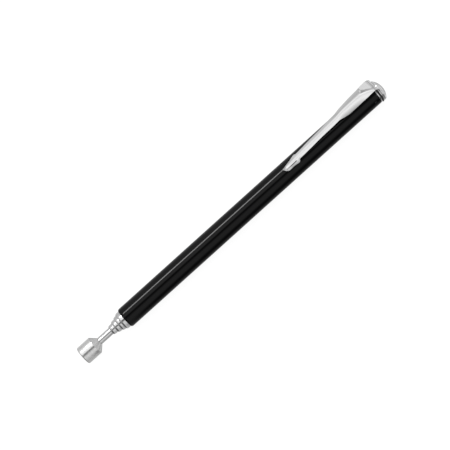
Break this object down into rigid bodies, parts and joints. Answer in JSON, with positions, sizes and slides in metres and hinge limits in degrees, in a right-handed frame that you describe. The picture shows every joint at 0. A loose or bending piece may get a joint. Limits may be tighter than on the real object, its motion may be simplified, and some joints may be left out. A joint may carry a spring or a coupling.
{
  "type": "magnetic pickup tool",
  "caption": "Pocket pickup tool: a small magnet head on nested tubes that pull out of a slim black barrel, with a sprung pocket clip and a domed cap.",
  "frame": {"origin": "centre of the magnet's flat working face, with the tool closed", "axes": "+X from the magnet along the barrel to the cap, +Z through the pocket clip, +Y completes the frame"},
  "size_m": [0.1299, 0.0076, 0.0096],
  "materials": {
    "black_lacquer": "gloss black lacquer over a drawn steel tube",
    "bright_chrome": "polished chrome plate on pressed and turned steel",
    "polished_tube": "bright drawn stainless tube, polished along its length",
    "satin_nickel": "satin nickel plate on a turned steel head",
    "magnet_plate": "bright nickel plate on a sintered magnet",
    "brass": "turned brass, inside the tool",
    "plated_collar": "turned brass plug with a plated collar",
    "spring_bronze": "rolled phosphor bronze sheet",
    "black_nylon": "black nylon washer"
  },
  "bodies": {
    "barrel": {"barrel": "black_lacquer", "end_plug": "plated_collar", "spacer_washer": "black_nylon", "clip_ring": "bright_chrome", "end_cap": "bright_chrome"},
    "clip": {"clip_arm": "bright_chrome"},
    "spring_1": {"friction_spring_1": "spring_bronze"},
    "section_1": {"tube_1": "polished_tube", "stop_bush_1": "brass"},
    "spring_2": {"friction_spring_2": "spring_bronze"},
    "section_2": {"tube_2": "polished_tube", "stop_bush_2": "brass"},
    "spring_3": {"friction_spring_3": "spring_bronze"},
    "section_3": {"tube_3": "polished_tube", "stop_bush_3": "brass"},
    "spring_4": {"friction_spring_4": "spring_bronze"},
    "section_4": {"tube_4": "polished_tube", "stop_bush_4": "brass"},
    "spring_5": {"friction_spring_5": "spring_bronze"},
    "section_5": {"rod": "polished_tube", "stop_bush_5": "brass", "magnet_cup": "satin_nickel", "magnet": "magnet_plate"}
  },
  "joints": [
    {"name": "clip_flex", "type": "hinge", "parent": "barrel", "child": "clip", "pos_m": [0.1276, 0, 0.00373], "axis": [0, 1, 0], "range_deg": [0, 3.5], "stiffness_Nm_per_rad": 2, "springref_deg": -0.57},
    {"name": "slide_1", "type": "slide", "parent": "barrel", "child": "spring_1", "axis": [-1, 0, 0], "range_m": [0, 0.0983]},
    {"name": "spin_1", "type": "hinge", "parent": "spring_1", "child": "section_1", "pos_m": [0.12, 0, 0], "axis": [1, 0, 0], "continuous": true},
    {"name": "slide_2", "type": "slide", "parent": "section_1", "child": "spring_2", "axis": [-1, 0, 0], "range_m": [0, 0.0999]},
    {"name": "spin_2", "type": "hinge", "parent": "spring_2", "child": "section_2", "pos_m": [0.12, 0, 0], "axis": [1, 0, 0], "continuous": true},
    {"name": "slide_3", "type": "slide", "parent": "section_2", "child": "spring_3", "axis": [-1, 0, 0], "range_m": [0, 0.1011]},
    {"name": "spin_3", "type": "hinge", "parent": "spring_3", "child": "section_3", "pos_m": [0.12, 0, 0], "axis": [1, 0, 0], "continuous": true},
    {"name": "slide_4", "type": "slide", "parent": "section_3", "child": "spring_4", "axis": [-1, 0, 0], "range_m": [0, 0.1026]},
    {"name": "spin_4", "type": "hinge", "parent": "spring_4", "child": "section_4", "pos_m": [0.12, 0, 0], "axis": [1, 0, 0], "continuous": true},
    {"name": "slide_5", "type": "slide", "parent": "section_4", "child": "spring_5", "axis": [-1, 0, 0], "range_m": [0, 0.1042]},
    {"name": "spin_5", "type": "hinge", "parent": "spring_5", "child": "section_5", "pos_m": [0.12, 0, 0], "axis": [1, 0, 0], "continuous": true}
  ]
}
